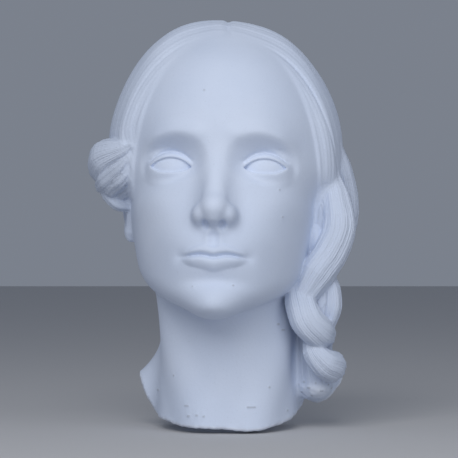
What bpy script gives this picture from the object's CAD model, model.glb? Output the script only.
"""The looks of the face wall mask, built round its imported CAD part."""

import math

import bpy
import numpy as np
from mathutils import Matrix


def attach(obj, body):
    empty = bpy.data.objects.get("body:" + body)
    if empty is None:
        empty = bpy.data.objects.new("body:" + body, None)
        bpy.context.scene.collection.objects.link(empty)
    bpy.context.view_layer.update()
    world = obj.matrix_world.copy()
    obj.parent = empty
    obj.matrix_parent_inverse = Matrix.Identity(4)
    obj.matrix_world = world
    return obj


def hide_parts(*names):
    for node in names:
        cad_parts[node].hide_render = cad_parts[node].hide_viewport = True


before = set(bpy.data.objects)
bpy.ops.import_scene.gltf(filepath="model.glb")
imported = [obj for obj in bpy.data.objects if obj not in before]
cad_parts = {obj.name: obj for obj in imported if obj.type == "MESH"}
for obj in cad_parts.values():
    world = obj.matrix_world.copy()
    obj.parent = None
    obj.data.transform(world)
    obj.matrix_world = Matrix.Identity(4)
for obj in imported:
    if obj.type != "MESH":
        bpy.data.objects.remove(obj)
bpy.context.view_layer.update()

import openvdb
from mathutils import Vector

# The mask: one hollow cast of gypsum plaster, poured or pressed into a mould of a modelled head and neck.
# Sizes are in millimetres, in the frame of the part: +X to the viewer's right, the face to -Y, +Z up.
MM = 0.001

# The cast. Points nearer the back plane than BACK_SNAP are put on it.
WALL = 14.0
THICKER_BEHIND_EYES = 6.0
RIM_BLEND = 3.0
CUT_ROUNDING = 2.5
BACK_SNAP = 0.08
LOW_CORNER = (-106.0, -150.0, -292.0)
HIGH_CORNER = (108.0, 12.0, 14.0)

# Where the head sits in the mask, and how it is held: chin up, turned a little, leaning a little
HEAD_CENTRE = (1.0, -22.0, -112.0)
HEAD_PITCH, HEAD_YAW, HEAD_ROLL = 10.0, 4.0, 1.0

# The head, in its own frame: x across, y back, z up from the line of the eyes
SKULL_CENTRE = (0.0, -8.0, 28.0)
SKULL_RADII = (76.5, 88.0, 88.5)
SKULL_LEAN = 0.028
SKULL_FLOOR = -14.0
JAW_POINT = (-95.0, -110.5)
JAW_SLOPE = 20.0
HALF_WIDTHS = ((-112, 24), (-100, 40), (-85, 51.5), (-70, 57.5), (-55, 61.5), (-40, 64.5), (-25, 66.5),
               (-10, 67.5), (10, 69), (30, 69.5), (50, 66), (70, 58), (90, 42), (105, 10))
DEPTHS = ((-112, 80), (-100, 89), (-85, 91), (-70, 91.5), (-55, 91.5), (-40, 90.5), (-25, 89.5),
          (-10, 89.5), (5, 91.5), (20, 94.5), (35, 95.5), (50, 93.5), (70, 85), (90, 64), (105, 24))
SQUARENESS = ((-112, 2.0), (-60, 2.15), (-20, 2.3), (20, 2.35), (60, 2.1), (105, 2.0))

# Soft rises and hollows of the face: across, up, half width, half height, rise
SWELLS = (
    ("between the brows", 0, 24, 14, 10, 1.0),
    ("temple", 56, 18, 12, 18, -2.0),
    ("inner corner of the eye", 13, 3, 6, 11, -2.5),
    ("cheekbone", 43, -25, 17, 13, 3.0),
    ("cheek", 30, -42, 16, 16, 1.2),
    ("side of the mouth", 38, -64, 13, 15, -1.2),
    ("round the teeth", 0, -60, 26, 16, 5.0),
    ("under the lip", 0, -81, 19, 5.5, -3.0),
    ("chin", 0, -98, 15, 11, 5.5),
)
BROW_HEIGHT, BROW_ARCH, BROW_RISE = 18.5, 4.5, 2.4
SOCKET_CENTRE, SOCKET_RADII, SOCKET_DEPTH = (31.0, 4.0), (24.0, 17.0), 10.5

EYE_CENTRE = (31.0, -68.3, 0.0)
EYE_RADII = (17.0, 12.8, 13.5)
EYE_TURN = 9.0
EYE_HALF = 15.0
EYE_UPPER, EYE_LOWER = 6.0, 4.6
LID = 2.5
LID_FOLD = 1.5

LIP_HALF = 24.0
LIP_LINE = -65.0
UPPER_LIP, LOWER_LIP = (8.4, 3.0), (10.2, 4.2)

# The hair: an arched hairline, with the strands along arches round it
HAIRLINE_CENTRE = (1.5, -112.0)
HAIRLINE_RADII = (65.0, 108.0)
HAIR_THICKNESS = 8.0
WAVE_HEIGHTS = (0.28, 0.17)
DEEP_LINE = 0.6
PARTING_X, PARTING_DEPTH, PARTING_HALF_WIDTH = 3.0, 0.8, 2.2
CAP_FOLD = -122.0

NECK_AXIS = (2.0, -28.0)
NECK_TOP = -120.0
NECK_HALF_WIDTHS = ((-290, 51), (-250, 49), (-225, 48), (-196, 46.5), (-150, 47))
NECK_DEPTHS = ((-290, 54), (-250, 51), (-225, 51), (-196, 54), (-150, 58))
CUT_EDGE = ((-72, -228), (-62, -245), (-58, -258), (-53.5, -267), (-46.5, -276), (-38, -278), (-28, -280),
            (-3, -281), (18, -282.5), (36, -280), (48.5, -276), (55.5, -271), (58.5, -264), (62, -265.5),
            (67, -267), (75, -264), (80, -259), (86, -251), (95, -238))

# Locks of hair: knots, half widths, half thicknesses, and the way the broad face looks
TO_FRONT = (0.3, -0.95, 0.0)
TO_FRONT_LEFT = (-0.55, -0.8, 0.1)
LOCKS = {
    "hair_behind_tail": (((68, -20, -112), (72, -24, -150), (66, -26, -190), (65, -24, -252)),
                         (12, 13, 12, 13), (24, 31, 33, 24), (0.1, -1, 0)),
    "back_strip": (((77, -44, -78), (83.8, -36, -98), (88, -28, -119), (87.2, -24, -138), (79, -22, -155)),
                   (5, 8, 9, 8.5, 5), (6, 8, 9, 9, 7), (0.8, -0.6, 0)),
    "hair_over_ear": (((69, -44, -100), (71, -47, -125), (70, -47, -150), (61, -48, -178)),
                      (6, 7, 7, 9), (9, 10, 10, 9), (0.2, -1, 0)),
    "lock_over_ear": (((74, -46, -98), (80, -54, -119), (82, -58, -139), (76, -59, -157),
                       (66.5, -60, -172), (58, -60, -187)),
                      (6, 10, 12, 12.5, 12.5, 9), (5, 8, 10, 10, 10, 7), TO_FRONT),
    "tail_behind": (((68.5, -44, -170), (73, -46, -183), (73.5, -45, -196), (69, -41, -211), (66, -36, -222)),
                    (5, 8, 8.5, 7, 4), (8, 14, 16, 14, 8), (0.45, -0.9, 0)),
    "tail_upper": (((50, -57, -180), (53.5, -62, -192), (58.5, -67, -205), (67, -62, -214), (71, -46, -217)),
                   (7, 11, 12, 11.5, 10), (5, 8, 10, 10, 9), (0.2, -0.98, 0)),
    "tail_lower": (((59, -54, -217), (63.5, -60, -228), (71, -59, -236), (77, -49, -239.5), (77, -34, -241)),
                   (3, 8, 10.5, 11.5, 10), (3, 8, 10, 10, 9), (0.2, -0.98, 0)),
    "knot_behind": (((-64, -20, -96), (-75, -20, -102), (-71, -22, -115)),
                    (10, 11, 9), (12, 14, 12), (-1, -0.2, 0)),
    "knot": (((-65, -73, -82), (-72, -67, -85), (-83, -53, -90), (-85.5, -37, -97), (-82, -20, -105)),
             (3, 8, 13.5, 13.5, 9), (3, 8, 12, 12, 9), TO_FRONT_LEFT),
    "knot_fan": (((-67, -70, -90), (-74, -64, -97.5), (-82, -52, -105), (-86, -37, -110)),
                 (3, 6.5, 8.5, 6), (3, 6.5, 8, 7), TO_FRONT_LEFT),
    "knot_fan_low": (((-67, -67, -99), (-73, -61, -106), (-80, -48, -112)),
                     (3, 6, 6), (3, 6, 6), TO_FRONT_LEFT),
    "knot_roll": (((-87, -34, -108), (-82.5, -38, -116), (-75.5, -40, -121.5), (-69, -38, -123)),
                  (3, 5, 6, 5), (4, 7, 9, 8), (-0.3, -0.9, -0.2)),
    "knot_tuck": (((-66, -55, -111), (-73, -45.5, -115), (-80, -43, -117)),
                  (4, 5, 4), (4, 5, 4), TO_FRONT_LEFT),
}
SOFT_LOCKS = ("hair_behind_tail", "hair_over_ear", "knot_behind")
SOFT_GROOVE, LOCK_GROOVE = 0.5, 0.7

# What shows of the ears: the lobe beside the tail, and the front edge of the ear under the knot
LOBE_CENTRE, LOBE_RADII = (65.5, -54.0, -149.0), (4.4, 5.5, 10.5)
EAR_EDGE_TOP, EAR_EDGE_FOOT, EAR_EDGE_RADIUS = (-67.0, -43.0, -119.0), (-66.9, -33.0, -141.5), 3.3

# Fillets where one form runs into the next
EAR_FILLET, EAR_EDGE_FILLET, LOBE_FILLET = 3.0, 4.0, 2.0
NECK_FILLET = 5.0
SOFT_FILLET, LOCK_FILLET = 8.0, 1.8


# Ways to shape and join fields


def smooth_min(a, b, blend):
    """The union of two shapes, with a fillet."""
    near = np.maximum(blend - np.abs(a - b), 0.0) / blend
    return np.minimum(a, b) - near * near * blend * 0.25


def smooth_max(a, b, blend):
    """What two shapes share, with a rounded edge."""
    return -smooth_min(-a, -b, blend)


def ramp(low, high, value):
    """0 at low, 1 at high, level at both ends."""
    t = np.clip((value - low) / (high - low), 0.0, 1.0)
    return t * t * (3.0 - 2.0 * t)


def bell(value):
    """1 at 0, and down to nothing at about 2 on either side."""
    return np.exp(-value * value)


def ridge(strand):
    """0 along the middle of each strand, and down to -1 in the groove between two."""
    return np.sqrt(np.sin(np.pi * strand) ** 2 + 0.03) - 1.015


def curve(value, stations):
    """The height at each value of a smooth curve through the stations, which never overshoots them."""
    at = np.array([station[0] for station in stations], float)
    high = np.array([station[1] for station in stations], float)
    gap = np.diff(at)
    rise = np.diff(high) / gap
    slope = np.zeros(len(at))
    slope[0] = rise[0]
    slope[-1] = rise[-1]
    for i in range(1, len(at) - 1):
        if rise[i - 1] * rise[i] > 0:
            before = 2 * gap[i] + gap[i - 1]
            after = gap[i] + 2 * gap[i - 1]
            slope[i] = (before + after) / (before / rise[i - 1] + after / rise[i])
    value = np.clip(value, at[0], at[-1])
    i = np.clip(np.searchsorted(at, value) - 1, 0, len(gap) - 1)
    t = (value - at[i]) / gap[i]
    height = (1 + 2 * t) * (1 - t) ** 2 * high[i] + t * (1 - t) ** 2 * gap[i] * slope[i]
    height += t * t * (3 - 2 * t) * high[i + 1] + t * t * (t - 1) * gap[i] * slope[i + 1]
    return height.astype(np.float32)


def spline(knots, count):
    """Points on a smooth curve through the knots."""
    k = np.asarray(knots, float)
    k = np.vstack([2 * k[0] - k[1], k, 2 * k[-1] - k[-2]])
    points = []
    for place in np.linspace(0, len(k) - 3, count):
        i = min(int(place), len(k) - 4)
        t = place - i
        a, b, c, d = k[i:i + 4]
        points.append(b + 0.5 * ((c - a) * t + (2 * a - 5 * b + 4 * c - d) * t * t
                                 + (3 * b - a - 3 * c + d) * t ** 3))
    return np.array(points, np.float32)


def ellipsoid(p, centre, radii):
    """The distance to an ellipsoid, near enough."""
    r = np.asarray(radii, np.float32)
    q = p - np.asarray(centre, np.float32)
    near = np.sqrt(((q / r) ** 2).sum(-1))
    steep = np.sqrt(((q / (r * r)) ** 2).sum(-1))
    return near * (near - 1.0) / np.maximum(steep, 1e-6)


def limb(p, start, end, start_radius, end_radius):
    """A round bar between two points."""
    a = np.asarray(start, np.float32)
    run = np.asarray(end, np.float32) - a
    t = np.clip(((p - a) @ run) / float(run @ run), 0.0, 1.0)
    away = p - (a + t[:, None] * run)
    return np.sqrt((away ** 2).sum(-1)) - (start_radius + (end_radius - start_radius) * t)


def lock(p, knots, widths, thicks, facing, samples=26, reach=8.0):
    """A swept lock of hair: its distance, the place along it from 0 to 1, and the angle round it."""
    path = spline(knots, samples)
    at = np.linspace(0, 1, samples)
    wide = np.interp(at, np.linspace(0, 1, len(widths)), widths).astype(np.float32)
    thick = np.interp(at, np.linspace(0, 1, len(thicks)), thicks).astype(np.float32)
    distance = np.full(len(p), 1e3, np.float32)
    along = np.zeros(len(p), np.float32)
    angle = np.zeros(len(p), np.float32)
    box = max(wide.max(), thick.max()) + reach
    found = np.nonzero(((p > path.min(0) - box) & (p < path.max(0) + box)).all(-1))[0]
    if not len(found):
        return distance, along, angle
    q = p[found]
    runs = path[1:] - path[:-1]
    best = np.full(len(q), 1e9, np.float32)
    which = np.zeros(len(q), int)
    part = np.zeros(len(q), np.float32)
    for i, run in enumerate(runs):
        t = np.clip(((q - path[i]) @ run) / (run @ run), 0, 1)
        away = ((q - path[i] - t[:, None] * run) ** 2).sum(-1)
        closer = away < best
        best[closer] = away[closer]
        which[closer] = i
        part[closer] = t[closer]
    tangent = np.gradient(path, axis=0)
    tangent /= np.linalg.norm(tangent, axis=1)[:, None]
    out = np.asarray(facing, np.float32) - (tangent @ np.asarray(facing, np.float32))[:, None] * tangent
    out /= np.linalg.norm(out, axis=1)[:, None]
    side = np.cross(tangent, out)

    def between(values):
        blend = part if values.ndim == 1 else part[:, None]
        return values[which] * (1 - blend) + values[which + 1] * blend

    offset = q - between(path)
    w = between(wide)
    h = between(thick)
    end = np.minimum(w, h)
    a = (offset * between(side)).sum(-1)
    o = (offset * between(out)).sum(-1)
    e = (offset * between(tangent)).sum(-1)
    near = np.sqrt((a / w) ** 2 + (o / h) ** 2 + (e / end) ** 2)
    steep = np.sqrt((a / w ** 2) ** 2 + (o / h ** 2) ** 2 + (e / end ** 2) ** 2)
    distance[found] = near * (near - 1) / np.maximum(steep, 1e-6)
    along[found] = (which + part) / (samples - 1)
    angle[found] = np.arctan2(o / h, a / w)
    return distance, along, angle


# The head


def head_turn():
    """The matrix that takes a point from the mask's frame to the head's."""
    a, b, g = (math.radians(v) for v in (HEAD_PITCH, HEAD_YAW, HEAD_ROLL))
    back = np.array([[1, 0, 0], [0, math.cos(a), math.sin(a)], [0, -math.sin(a), math.cos(a)]])
    aside = np.array([[math.cos(b), math.sin(b), 0], [-math.sin(b), math.cos(b), 0], [0, 0, 1]])
    over = np.array([[math.cos(g), 0, math.sin(g)], [0, 1, 0], [-math.sin(g), 0, math.cos(g)]])
    return (aside @ over @ back).astype(np.float32)


def in_head(p):
    """The points in the frame of the head."""
    return (p - np.asarray(HEAD_CENTRE, np.float32)) @ head_turn()


def egg(q):
    """The front of the head without its features: a loft through widths and depths."""
    w = curve(q[:, 2], HALF_WIDTHS)
    f = curve(q[:, 2], DEPTHS)
    n = curve(q[:, 2], SQUARENESS)
    across = np.abs(q[:, 0]) / w
    back = np.abs(q[:, 1]) / f
    g = np.maximum((across ** n + back ** n) ** (1 / n), 1e-3)
    gx = across ** (n - 1) / w * g ** (1 - n)
    gy = back ** (n - 1) / f * g ** (1 - n)
    d = (g - 1) / np.maximum(np.sqrt(gx * gx + gy * gy), 1e-4)
    return smooth_max(d, q[:, 2] - HALF_WIDTHS[-2][0], 10)


def skull(q):
    """The bare head: the egg, the dome of the skull and the slope under the jaw."""
    leaning = q.copy()
    leaning[:, 0] += SKULL_LEAN * (q[:, 2] - SKULL_CENTRE[2])
    dome = smooth_max(ellipsoid(leaning, SKULL_CENTRE, SKULL_RADII), SKULL_FLOOR - q[:, 2], 24)
    slope = math.radians(JAW_SLOPE)
    under = (q[:, 1] - JAW_POINT[0]) * math.sin(slope) - (q[:, 2] - JAW_POINT[1]) * math.cos(slope)
    return smooth_max(smooth_min(egg(q), dome, 10), under, 22)


def nose(d, q, m):
    """A straight bridge, a round tip, wings and nostrils."""
    bridge = limb(q, (0, -84, 15), (0, -102, -30), 6.3, 7.2)
    sides = limb(q, (0, -80, 2), (0, -90, -34), 9, 13)
    tip = ellipsoid(q, (0, -106.0, -33.5), (7.2, 8.0, 7.2))
    d = smooth_min(d, smooth_min(smooth_min(bridge, sides, 9), tip, 8), 11)
    wings = ellipsoid(m, (10.2, -97.0, -37.0), (4.9, 8.4, 5.9))
    d = smooth_min(d, wings, 5.5)
    d = smooth_min(d, limb(q, (0, -105.5, -39.5), (0, -95, -44.5), 3.0, 3.6), 5)
    nostrils = ellipsoid(m, (5.7, -100.0, -44.6), (2.4, 5.0, 3.6))
    return smooth_max(d, -nostrils, 2.4)


def lips(d, m):
    """A groove under the nose, and two closed lips with a line between them."""
    x, z = m[:, 0], m[:, 2]
    zone = ramp(-60, -80, m[:, 1])
    groove = ramp(-60, -55, z) * ramp(-42, -47, z) * zone
    d = d + 1.2 * groove * bell(x / 3.0) - 0.7 * groove * bell((x - 5.0) / 2.4)
    u = np.clip(x / LIP_HALF, 0, 1)
    line = LIP_LINE + 1.0 * bell((x - 10) / 7) - 0.6 * bell(x / 5) + 0.6 * u ** 2
    bow = UPPER_LIP[0] - 1.3 * bell(x / 3.0) + 0.6 * bell((x - 6) / 4)
    top = line + bow * (1 - u ** 1.8) ** 0.75
    low = line - LOWER_LIP[0] * (1 - u ** 2.2) ** 0.62
    above = np.clip((z - line) / np.maximum(top - line, 0.05), 0, 1)
    below = np.clip((line - z) / np.maximum(line - low, 0.05), 0, 1)
    upper = UPPER_LIP[1] * (1 - np.exp(-5 * above)) * (1 - above ** 2.2)
    lower = LOWER_LIP[1] * (1 - np.exp(-4 * below)) * (1 - below ** 2.0)
    d = d - zone * ramp(1.0, 0.6, u) * (upper + lower)
    d = d + zone * 1.7 * bell((z - line) / 1.9) * ramp(LIP_HALF + 3, LIP_HALF - 5, x)
    return d + zone * 1.3 * bell((x - LIP_HALF) / 4.0) * bell((z - line) / 4.5)


def eye(d, m):
    """Lids over a blank eyeball, open in an almond, with a fold above."""
    a = math.radians(EYE_TURN)
    away = m - np.asarray(EYE_CENTRE, np.float32)
    across = away[:, 0] * math.cos(a) + away[:, 1] * math.sin(a)
    inward = -away[:, 0] * math.sin(a) + away[:, 1] * math.cos(a)
    e = np.stack([across, inward, away[:, 2]], -1)
    up = e[:, 2] - 0.05 * across
    t = np.clip(np.abs(across) / EYE_HALF, 0, 1)
    lean = 0.12 * across / EYE_HALF
    upper = EYE_UPPER * (1 - t ** 2.1) * (1 - lean)
    lower = -EYE_LOWER * (1 - t ** 2.5) * (1 + lean)
    slit = np.maximum(np.maximum(up - upper, lower - up), (np.abs(across) - EYE_HALF) * 0.9)
    lids = ellipsoid(e, (0, 0, 0), tuple(r + LID for r in EYE_RADII))
    d = smooth_min(d, lids, 4.0)
    fold = upper + 5.0 - 0.6 * t
    d = d + LID_FOLD * bell((up - fold) / 1.3) * ramp(19, 12, np.abs(across))
    d = smooth_max(d, -np.maximum(slit, inward + 2.0), 1.2)
    return smooth_min(d, ellipsoid(e, (0, 0, 0), EYE_RADII), 1.0)


def face(q, base):
    """The face on the bare head. Both halves are alike, so it is worked out on one."""
    m = q.copy()
    m[:, 0] = np.abs(m[:, 0])
    x, z = m[:, 0], m[:, 2]
    lift = np.zeros(len(q), np.float32)
    for _, across, up, half_width, half_height, rise in SWELLS:
        lift += rise * bell((x - across) / half_width) * bell((z - up) / half_height)
    brow = BROW_HEIGHT + BROW_ARCH * bell((x - 30) / 17)
    lift += BROW_RISE * bell((z - brow) / 6.5) * ramp(2, 16, x) * ramp(60, 42, x)
    socket = np.hypot((x - SOCKET_CENTRE[0]) / SOCKET_RADII[0], (z - SOCKET_CENTRE[1]) / SOCKET_RADII[1])
    lift -= SOCKET_DEPTH * ramp(1.1, 0.2, socket)
    d = base - lift * ramp(-30, -55, m[:, 1])
    d = lips(nose(d, q, m), m)
    near = np.nonzero((np.abs(x - EYE_CENTRE[0]) < 27) & (np.abs(z) < 26) & (m[:, 1] < -40))[0]
    if len(near):
        d[near] = eye(d[near], m[near])
    return d


def ear(q, side):
    """Only its lower half shows under the hair."""
    m = q * np.array([side, 1, 1], np.float32)
    d = ellipsoid(m, (67.0, -1.0, -16.0), (5.5, 11.0, 21.0))
    rim = lock(m, ((70, -9, 8), (73, 4, 14), (74, 13, 2), (73, 11, -14), (70, 3, -28)),
               (2.8, 3.2, 3.2, 3.0, 2.4), (2.6, 3.0, 3.0, 2.8, 2.4), (1, 0, 0), 18)[0]
    d = smooth_min(d, rim, 2.0)
    d = smooth_min(d, ellipsoid(m, (67.3, -5.0, -33.0), (4.6, 6.0, 8.0)), 4.0)
    d = smooth_max(d, -ellipsoid(m, (75.0, -1.0, -11.0), (6.5, 6.0, 11.0)), 2.0)
    return smooth_min(d, ellipsoid(m, (68.5, -11.0, -14.0), (4.0, 3.6, 5.0)), 2.5)


# The hair and the neck


def hair_flow(p):
    """How far out from the hairline, the turn round the face, and the count of strands across the hair."""
    across = (p[:, 0] - HAIRLINE_CENTRE[0]) / HAIRLINE_RADII[0]
    up = (p[:, 2] - HAIRLINE_CENTRE[1]) / HAIRLINE_RADII[1]
    from_face = np.hypot(across, up)
    turn = np.arctan2(across, up)
    strand = (from_face - 1) * 21 - 2.6 * np.maximum(np.abs(turn) - 0.3, 0) + 0.1 * (p[:, 1] + 60)
    strand += 0.25 * np.sin(3.1 * turn + 0.6) + 0.12 * np.sin(7.3 * turn)
    strand += np.where(p[:, 0] < 0, ramp(-64, -90, p[:, 2]) * (-70 - p[:, 2]) * 0.16, 0)
    return from_face, turn, strand


def hair_cap(p, skin):
    """Parted hair laid on the skin, drawn down and back round the face, with one deep line on the right."""
    x, z = p[:, 0], p[:, 2]
    from_face, turn, strand = hair_flow(p)
    aside = np.abs(turn)
    edge = 0.06 + 0.14 * ramp(0.3, 1.2, aside)
    ends = np.where(x < 0, ramp(-128, -104, z), ramp(-150, -128, z))
    grown = (edge * ramp(0.98, 1.04, from_face) + (1 - edge) * ramp(1.0, 1.22, from_face)) * ends
    grown *= (1 - 0.15 * ramp(-75, -15, z)) * (1 - 0.16 * ramp(0, -30, x) * bell((z + 40) / 24))
    waves = WAVE_HEIGHTS[0] * ridge(0.40 * strand + 0.2) + WAVE_HEIGHTS[1] * ridge(1.03 * strand + 0.37)
    calm = 1 - 0.7 * ramp(-95, -115, z) * ramp(0, 30, x)
    d = skin - HAIR_THICKNESS * grown - waves * ramp(0.99, 1.06, from_face) * ends * calm
    deep_line = from_face - 1 - 0.2 * np.maximum(aside - 0.35, 0)
    d += DEEP_LINE * bell(deep_line / 0.011) * ramp(0.4, 0.7, turn) * ramp(-124, -100, z)
    d += PARTING_DEPTH * bell((x - PARTING_X) / PARTING_HALF_WIDTH) * ramp(-12, 0, z)
    fold = CAP_FOLD - 30 * ramp(76, 66, x) * ramp(0, 30, x)
    return smooth_max(d, fold - z, 3)


def neck_tube(p):
    """The neck without its muscles: an oval tube through widths and depths."""
    x = p[:, 0] - NECK_AXIS[0]
    y = p[:, 1] - NECK_AXIS[1]
    w = curve(p[:, 2], NECK_HALF_WIDTHS)
    f = curve(p[:, 2], NECK_DEPTHS)
    near = np.sqrt((x / w) ** 2 + (y / f) ** 2)
    steep = np.sqrt((x / w ** 2) ** 2 + (y / f ** 2) ** 2)
    return near * (near - 1) / np.maximum(steep, 1e-5)


def neck(p):
    """The tube with the long muscle on each side and the start of the shoulders."""
    d = np.maximum(neck_tube(p), p[:, 2] - NECK_TOP)
    for side in (-1, 1):
        muscle = limb(p, (2 + side * 46, -24, -160), (2 + side * 12, -76, -300), 8, 9)
        d = smooth_min(d, muscle, 16)
    d = smooth_min(d, limb(p, (-26, -8, -232), (-70, -4, -271), 12, 15), 20)
    return smooth_min(d, limb(p, (36, -8, -218), (80, -4, -268), 13, 18), 24)


# The whole cast


def hair_lock(p, name):
    """The distance of one lock with its waves, and the count of strands across it."""
    away, along, angle = lock(p, *LOCKS[name])
    if name in SOFT_LOCKS:
        strand = p[:, 1] / 6
        return away - SOFT_GROOVE * ridge(strand), strand
    strand = angle * 1.3 + 0.5 * along + 0.3
    return away - LOCK_GROOVE * ridge(strand), strand


def outside(p):
    """The whole figure without its hollow, down to the rough cut edge of the neck."""
    q = in_head(p)
    base = skull(q)
    d = face(q, base)
    d = np.minimum(d, hair_cap(p, d))
    for side in (-1, 1):
        d = smooth_min(d, ear(q, side), EAR_FILLET)
    edge = limb(p, EAR_EDGE_TOP, EAR_EDGE_FOOT, EAR_EDGE_RADIUS, EAR_EDGE_RADIUS)
    d = smooth_min(d, edge, EAR_EDGE_FILLET)
    d = smooth_min(d, neck(p), NECK_FILLET)
    for name in LOCKS:
        d = smooth_min(d, hair_lock(p, name)[0], SOFT_FILLET if name in SOFT_LOCKS else LOCK_FILLET)
    d = smooth_min(d, ellipsoid(p, LOBE_CENTRE, LOBE_RADII), LOBE_FILLET)
    return smooth_max(d, 0.8 * (curve(p[:, 0], CUT_EDGE) - p[:, 2]), CUT_ROUNDING)


def hollow(p):
    """The inside of the cast, which follows the bare head and neck at the thickness of the wall."""
    q = in_head(p)
    d = smooth_min(skull(q), np.maximum(neck_tube(p), p[:, 2] - NECK_TOP + 10), 20) + WALL
    behind_eyes = bell((np.abs(q[:, 0]) - 31) / 24) * bell((q[:, 2] - 4) / 20) * ramp(-20, -50, q[:, 1])
    return d + THICKER_BEHIND_EYES * behind_eyes


def cast(p):
    """Below 0 in the plaster, above 0 outside it and in the hollow. The back is the plane y = 0."""
    return np.maximum(smooth_max(outside(p), -hollow(p), RIM_BLEND), p[:, 1])


def sampled(field, low, counts, pitch, block=4, batch=400000):
    """The field on a grid, worked out only in the blocks that its surface may cross."""
    places = np.stack(np.meshgrid(*[np.arange(n) for n in counts // block], indexing="ij"), -1)
    places = places.reshape(-1, 3)
    middles = (low + (places * block + (block - 1) / 2) * pitch).astype(np.float32)
    coarse = np.concatenate([field(middles[i:i + batch]) for i in range(0, len(middles), batch)])
    far = 6 * pitch
    values = np.where(coarse < 0, -far, far).astype(np.float32).reshape(counts // block)
    for axis in range(3):
        values = np.repeat(values, block, axis)
    crossed = places[np.abs(coarse) < block * pitch * 1.2 + 1.0]
    inside = np.stack(np.meshgrid(*[np.arange(block)] * 3, indexing="ij"), -1).reshape(-1, 3)
    step = batch // block ** 3
    for i in range(0, len(crossed), step):
        at = (crossed[i:i + step, None, :] * block + inside).reshape(-1, 3)
        found = field((low + at * pitch).astype(np.float32))
        values[at[:, 0], at[:, 1], at[:, 2]] = np.clip(found, -far, far)
    return values


def settled(field, points, pitch):
    """The points moved onto the surface, along the field's slope at each."""
    corners = np.array([[1, -1, -1], [-1, -1, 1], [-1, 1, -1], [1, 1, 1]], np.float32)
    reach = 0.25 * pitch
    around = [field(points + reach * corner) for corner in corners]
    slope = sum(corner * value[:, None] for corner, value in zip(corners, around)) / (4 * reach)
    height = sum(around) / 4
    step = np.clip(height / np.maximum((slope ** 2).sum(-1), 0.25), -0.6 * pitch, 0.6 * pitch)
    return points - step[:, None] * slope


def mesh_of(field, name, pitch):
    """A mesh of the surface where the field is 0, in metres, and its points in millimetres."""
    low = np.array(LOW_CORNER)
    blocks = np.ceil((np.array(HIGH_CORNER) - low) / pitch / 4).astype(int)
    grid = openvdb.FloatGrid()
    grid.copyFromArray(sampled(field, low, blocks * 4, pitch))
    points, quads = grid.convertToQuads(isovalue=0.0)
    points = (points * pitch + low).astype(np.float32)
    points = np.concatenate([settled(field, part, pitch) for part in np.array_split(points, 4)])
    points[np.abs(points[:, 1]) < BACK_SNAP, 1] = 0
    mesh = bpy.data.meshes.new(name)
    mesh.from_pydata((points * MM).tolist(), [], quads.tolist())
    mesh.flip_normals()
    mesh.update()
    return mesh, points


FINE_PITCH = 0.85
mask_mesh, mask_points = mesh_of(cast, "plaster_mask_fine", FINE_PITCH)
mask = bpy.data.objects.new("plaster_mask_fine", mask_mesh)
bpy.context.scene.collection.objects.link(mask)


# Strands of hair: the modeller drew them into the clay with a comb or a toothed tool, so they are fine
# grooves that follow each lock. The same tree lumps the hollow, where the plaster was laid in by hand,
# sinks the pits that air bubbles and knocks left, and breaks the cut edge. Marks on the points say where.
STRANDS_A_WAVE = 3.0
CAP_STRANDS = 0.4

# Pits: across, up, half the length, radius. Only the front has them: they come in over a stretch of the
# depth, which is counted from the wall.
PITS = ((-13.5, -45.4, 0, 0.8), (38.3, -114.0, 0, 0.7), (40.4, -132.6, 0, 0.6), (-21.3, -180.0, 0, 0.5),
        (6.4, -179.4, 0.4, 0.5), (38.3, -208.4, 0.3, 0.8), (41.8, -212.7, 0.8, 0.7), (31.9, -252.4, 0, 0.9),
        (-35.5, -244.6, 0, 0.7), (-26.2, -265.2, 1.0, 0.7), (-24.8, -272.3, 0.4, 0.8),
        (-19.1, -271.6, 0.4, 0.7), (-14.2, -272.3, 0.4, 0.7), (-47.5, -257.0, 0, 0.9),
        (19.1, -265.9, 2.6, 0.7), (45.0, -270.0, 0, 0.7), (57.5, -250.5, 0, 0.9), (61.0, -254.5, 0.6, 0.8),
        (65.5, -251.0, 0, 0.8), (69.5, -256.5, 0.7, 0.7), (74.5, -252.5, 0, 0.8), (77.0, -255.5, 0.4, 0.7),
        (56.0, -258.0, 0, 0.8), (63.0, -260.0, 0.3, 0.7), (54.0, -252.5, 0, 0.6))
PITS_FROM, PITS_FULL = 15.0, 25.0

# A broken patch at the foot of the tail
PATCH_CENTRE, PATCH_RADII = (65.0, -257.0), (14.0, 7.0)


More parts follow.
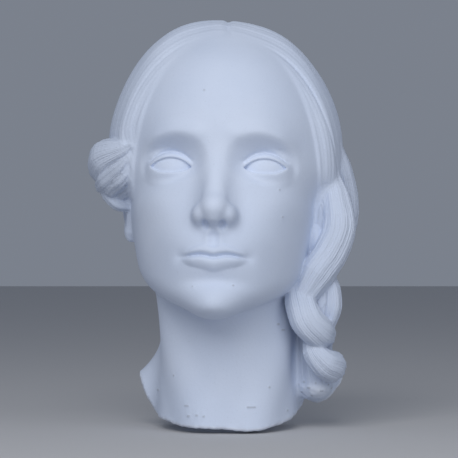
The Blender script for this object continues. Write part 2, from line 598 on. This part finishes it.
def mark_points(mesh, points):
    """Puts on each point the count of strands, and how much it is hair, hollow, broken edge and pit."""
    q = in_head(points)
    bare = face(q, skull(q))
    skin = smooth_min(bare, neck(points), NECK_FILLET)
    nearest = hair_cap(points, bare)
    from_face, _, strand = hair_flow(points)
    count = strand * STRANDS_A_WAVE
    hair = CAP_STRANDS * ramp(0.99, 1.08, from_face) * ramp(0.2, 1.2, bare - nearest)
    for name in LOCKS:
        away, strand = hair_lock(points, name)
        closer = away < nearest
        nearest[closer] = away[closer]
        count[closer] = (strand * STRANDS_A_WAVE)[closer]
        hair[closer] = ramp(-0.3, 1.2, skin - away)[closer]
    front = ramp(0.0, 1.5, -points[:, 1])
    inner = ramp(-3.0, -6.0, outside(points)) * ramp(0.0, 2.0, -points[:, 1])
    cut = ramp(4.0, 0.5, points[:, 2] - curve(points[:, 0], CUT_EDGE))
    patch = bell((points[:, 0] - PATCH_CENTRE[0]) / PATCH_RADII[0])
    patch *= bell((points[:, 2] - PATCH_CENTRE[1]) / PATCH_RADII[1])
    cut = np.maximum(cut, patch) * front
    hair *= 1 - patch
    hair[ellipsoid(points, LOBE_CENTRE, LOBE_RADII) < nearest] = 0
    pits = np.zeros(len(points), np.float32)
    for across, up, half_length, radius in PITS:
        aside = np.maximum(np.abs(points[:, 0] - across) - half_length, 0)
        pits = np.maximum(pits, bell(np.hypot(aside, points[:, 2] - up) / radius))
    pits *= ramp(PITS_FROM, PITS_FULL, -points[:, 1]) * (1 - inner)
    hair *= front * (1 - inner)
    marks = {"strands": count, "hair": hair, "hollow": inner, "cut": cut, "pits": pits}
    for name, values in marks.items():
        layer = mesh.attributes.new(name, "FLOAT", "POINT")
        layer.data.foreach_set("value", values.astype(np.float32))


mark_points(mask_mesh, mask_points)


def calculator(tree):
    """A function that adds a maths node to the tree, fed by numbers and sockets, and gives its result."""
    def calc(operation, *values):
        node = tree.nodes.new("ShaderNodeMath")
        node.operation = operation
        for socket, value in zip(node.inputs, values):
            if isinstance(value, (int, float)):
                socket.default_value = value
            else:
                tree.links.new(value, socket)
        return node.outputs[0]
    return calc


def relief_tree():
    """Carves strands by the strand count, lumps the hollow, sinks the pits and breaks the cut edge."""
    tree = bpy.data.node_groups.new("plaster_relief", "GeometryNodeTree")
    sockets = tree.interface
    sockets.new_socket("Geometry", in_out="INPUT", socket_type="NodeSocketGeometry")
    for name, value in (("Strand depth", 0.00045), ("Strand waver", 2.2), ("Lump depth", 0.0011),
                        ("Cut depth", 0.0028), ("Pit depth", 0.0005)):
        socket = sockets.new_socket(name, in_out="INPUT", socket_type="NodeSocketFloat")
        socket.default_value = value
    sockets.new_socket("Seed", in_out="INPUT", socket_type="NodeSocketInt").default_value = 7
    sockets.new_socket("Material", in_out="INPUT", socket_type="NodeSocketMaterial")
    sockets.new_socket("Geometry", in_out="OUTPUT", socket_type="NodeSocketGeometry")
    nodes, links = tree.nodes, tree.links
    calc = calculator(tree)
    given = nodes.new("NodeGroupInput")

    def named(name):
        node = nodes.new("GeometryNodeInputNamedAttribute")
        node.data_type = "FLOAT"
        node.inputs["Name"].default_value = name
        return node.outputs["Attribute"]

    def noise(scale, detail, offset):
        node = nodes.new("ShaderNodeTexNoise")
        node.noise_dimensions = "4D"
        node.inputs["Scale"].default_value = scale
        node.inputs["Detail"].default_value = detail
        links.new(calc("ADD", calc("MULTIPLY", given.outputs["Seed"], 3.7), offset), node.inputs["W"])
        return node.outputs["Fac"]

    waver = calc("SUBTRACT", noise(scale=45.0, detail=1.0, offset=0.0), 0.5)
    place = calc("ADD", named("strands"), calc("MULTIPLY", waver, given.outputs["Strand waver"]))
    groove = calc("SUBTRACT", 1.0, calc("ABSOLUTE", calc("SINE", calc("MULTIPLY", place, math.pi))))
    groove = calc("POWER", groove, 1.5)
    uneven = calc("ADD", 0.35, calc("MULTIPLY", noise(scale=60.0, detail=1.0, offset=5.0), 1.1))
    strands = calc("MULTIPLY", calc("MULTIPLY", groove, uneven),
                   calc("MULTIPLY", named("hair"), given.outputs["Strand depth"]))
    lumps = calc("SUBTRACT", noise(scale=38.0, detail=2.0, offset=11.0), 0.35)
    lumps = calc("MULTIPLY", lumps, calc("MULTIPLY", named("hollow"), given.outputs["Lump depth"]))
    broken = calc("SUBTRACT", noise(scale=190.0, detail=3.0, offset=17.0), 0.38)
    broken = calc("MULTIPLY", broken, calc("MULTIPLY", named("cut"), given.outputs["Cut depth"]))
    pits = calc("MULTIPLY", named("pits"), given.outputs["Pit depth"])
    depth = calc("MULTIPLY", calc("ADD", calc("ADD", strands, pits), calc("ADD", lumps, broken)), -1.0)
    normal = nodes.new("GeometryNodeInputNormal")
    move = nodes.new("ShaderNodeVectorMath")
    move.operation = "SCALE"
    links.new(normal.outputs["Normal"], move.inputs[0])
    links.new(depth, move.inputs["Scale"])
    place_set = nodes.new("GeometryNodeSetPosition")
    links.new(given.outputs["Geometry"], place_set.inputs["Geometry"])
    links.new(move.outputs["Vector"], place_set.inputs["Offset"])
    real = nodes.new("GeometryNodeRealizeInstances")
    links.new(place_set.outputs["Geometry"], real.inputs["Geometry"])
    finish = nodes.new("GeometryNodeSetMaterial")
    links.new(real.outputs["Geometry"], finish.inputs["Geometry"])
    links.new(given.outputs["Material"], finish.inputs["Material"])
    out = nodes.new("NodeGroupOutput")
    links.new(finish.outputs["Geometry"], out.inputs["Geometry"])
    return tree


# Plaster: cool white gypsum, matt, and a little mottled where it dried unevenly. Dust lies in the hair, dirt
# in the pits, and the broken edge is chalky, because the skin of the cast is gone there.
PLASTER_DAMP, PLASTER_DRY = (0.62, 0.695, 0.845, 1), (0.67, 0.74, 0.88, 1)
GRAIN, DUST = (0.53, 0.59, 0.71, 1), (0.50, 0.56, 0.68, 1)
CHALK, DIRT = (0.80, 0.84, 0.92, 1), (0.45, 0.49, 0.57, 1)
PLASTER_ROUGHNESS, PLASTER_SHEEN = 0.82, 0.28
PORE_DEPTH, PORE_STRENGTH = 0.0003, 0.35
COMB_DEPTH, COMB_TEETH_A_STRAND = 0.0004, 1.7
plaster = bpy.data.materials.new("plaster_finish")
plaster.use_nodes = True


def plaster_nodes(material):
    """Builds the plaster from noise and from the marks on the points."""
    nodes, links = material.node_tree.nodes, material.node_tree.links
    calc = calculator(material.node_tree)
    shader = nodes["Principled BSDF"]
    shader.inputs["Roughness"].default_value = PLASTER_ROUGHNESS
    shader.inputs["Specular IOR Level"].default_value = PLASTER_SHEEN
    where = nodes.new("ShaderNodeTexCoord").outputs["Object"]

    def noise(scale, detail, roughness=0.5):
        node = nodes.new("ShaderNodeTexNoise")
        node.inputs["Scale"].default_value = scale
        node.inputs["Detail"].default_value = detail
        node.inputs["Roughness"].default_value = roughness
        links.new(where, node.inputs["Vector"])
        return node.outputs["Fac"]

    def mix(factor, a, b):
        node = nodes.new("ShaderNodeMix")
        node.data_type = "RGBA"
        links.new(factor, node.inputs["Factor"])
        for socket, value in ((node.inputs[6], a), (node.inputs[7], b)):
            if isinstance(value, tuple):
                socket.default_value = value
            else:
                links.new(value, socket)
        return node.outputs[2]

    def spread(value, low, high, to_low=0.0, to_high=1.0):
        node = nodes.new("ShaderNodeMapRange")
        links.new(value, node.inputs["Value"])
        for name, number in (("From Min", low), ("From Max", high), ("To Min", to_low), ("To Max", to_high)):
            node.inputs[name].default_value = number
        return node.outputs["Result"]

    def marked(name):
        node = nodes.new("ShaderNodeAttribute")
        node.attribute_name = name
        return node.outputs["Fac"]

    cloudy = mix(spread(noise(scale=14.0, detail=3.0), 0.35, 0.65), PLASTER_DAMP, PLASTER_DRY)
    grain = mix(spread(noise(scale=900.0, detail=2.0), 0.62, 0.75, 0.0, 0.35), cloudy, GRAIN)
    dusty = mix(spread(marked("hair"), 0.0, 1.0, 0.0, 0.3), grain, DUST)
    chalky = mix(spread(marked("cut"), 0.4, 1.0, 0.0, 0.55), dusty, CHALK)
    dirty = mix(spread(marked("pits"), 0.15, 0.8, 0.0, 0.8), chalky, DIRT)
    links.new(dirty, shader.inputs["Base Color"])
    bump = nodes.new("ShaderNodeBump")
    bump.inputs["Strength"].default_value = PORE_STRENGTH
    bump.inputs["Distance"].default_value = PORE_DEPTH
    links.new(noise(scale=420.0, detail=4.0, roughness=0.6), bump.inputs["Height"])
    combed = nodes.new("ShaderNodeBump")
    combed.inputs["Distance"].default_value = COMB_DEPTH
    links.new(bump.outputs["Normal"], combed.inputs["Normal"])
    teeth = calc("SINE", calc("MULTIPLY", marked("strands"), COMB_TEETH_A_STRAND * math.pi))
    links.new(calc("ABSOLUTE", teeth), combed.inputs["Height"])
    pressed = calc("MULTIPLY", noise(scale=70.0, detail=1.0), 0.9)
    links.new(calc("MULTIPLY", marked("hair"), pressed), combed.inputs["Strength"])
    links.new(combed.outputs["Normal"], shader.inputs["Normal"])


plaster_nodes(plaster)

relief = mask.modifiers.new("relief", "NODES")
relief.node_group = relief_tree()
for item in relief.node_group.interface.items_tree:
    if item.in_out == "INPUT" and item.name == "Material":
        relief[item.identifier] = plaster
TRIANGLES = 192000
thin = mask.modifiers.new("thin", "DECIMATE")
thin.ratio = min(1.0, TRIANGLES / (2 * len(mask_mesh.polygons)))
evaluated = mask.evaluated_get(bpy.context.evaluated_depsgraph_get())
final_mesh = bpy.data.meshes.new_from_object(evaluated)
mask.modifiers.clear()
mask.data = final_mesh
final_mesh.name = "plaster_mask_fine"
final_mesh.shade_smooth()
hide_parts("plaster_mask")
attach(mask, "root")

# The floor: a plain pale sheet just below the mask, which hangs above it. It catches the shadow and isn't
# part of the mask, so it is stage.
FLOOR_HEIGHT, FLOOR_COLOUR = -0.2845, (0.55, 0.55, 0.56, 1)
bpy.ops.mesh.primitive_plane_add(size=6, location=(0, 1.0, FLOOR_HEIGHT))
floor = bpy.context.object
floor.name = "floor"
floor_paint = bpy.data.materials.new("floor_paint")
floor_paint.use_nodes = True
floor_shader = floor_paint.node_tree.nodes["Principled BSDF"]
floor_shader.inputs["Base Color"].default_value = FLOOR_COLOUR
floor_shader.inputs["Roughness"].default_value = 0.9
floor.data.materials.append(floor_paint)

# Light: a large soft lamp in front, above and to the left, a weaker one from the right, and a pale room.
# Both lamps and the camera aim at the middle of the mask.
AIM = Vector((0.0035, -0.06, -0.141))
ROOM_COLOUR, ROOM_STRENGTH = (0.36, 0.40, 0.48, 1), 0.55


def lamp(name, place, size, power):
    """A square lamp of so many metres and watts."""
    light = bpy.data.lights.new(name, "AREA")
    light.size = size
    light.energy = power
    holder = bpy.data.objects.new(name, light)
    holder.location = place
    holder.rotation_euler = (AIM - Vector(place)).to_track_quat("-Z", "Y").to_euler()
    bpy.context.scene.collection.objects.link(holder)


lamp("key", (-0.25, -1.40, 0.75), 1.1, 14.8)
lamp("fill", (0.95, -1.1, 0.25), 0.9, 2.9)
room = bpy.data.worlds.new("room")
bpy.context.scene.world = room
room.use_nodes = True
room.node_tree.nodes["Background"].inputs["Color"].default_value = ROOM_COLOUR
room.node_tree.nodes["Background"].inputs["Strength"].default_value = ROOM_STRENGTH
bpy.context.scene.view_settings.view_transform = "Standard"

# The camera: far off, square on, at the height of the mouth, as the photograph was taken. The height of the
# picture is what it shows at the distance of the aim.
FAR = 1.6
PICTURE_HEIGHT = 0.3247
eye_of_camera = bpy.data.cameras.new("camera")
eye_of_camera.sensor_fit = "VERTICAL"
eye_of_camera.angle = 2 * math.atan(PICTURE_HEIGHT / 2 / FAR)
camera = bpy.data.objects.new("camera", eye_of_camera)
camera.location = AIM + Vector((0, -FAR, 0))
camera.rotation_euler = (math.pi / 2, 0, 0)
bpy.context.scene.collection.objects.link(camera)
bpy.context.scene.camera = camera
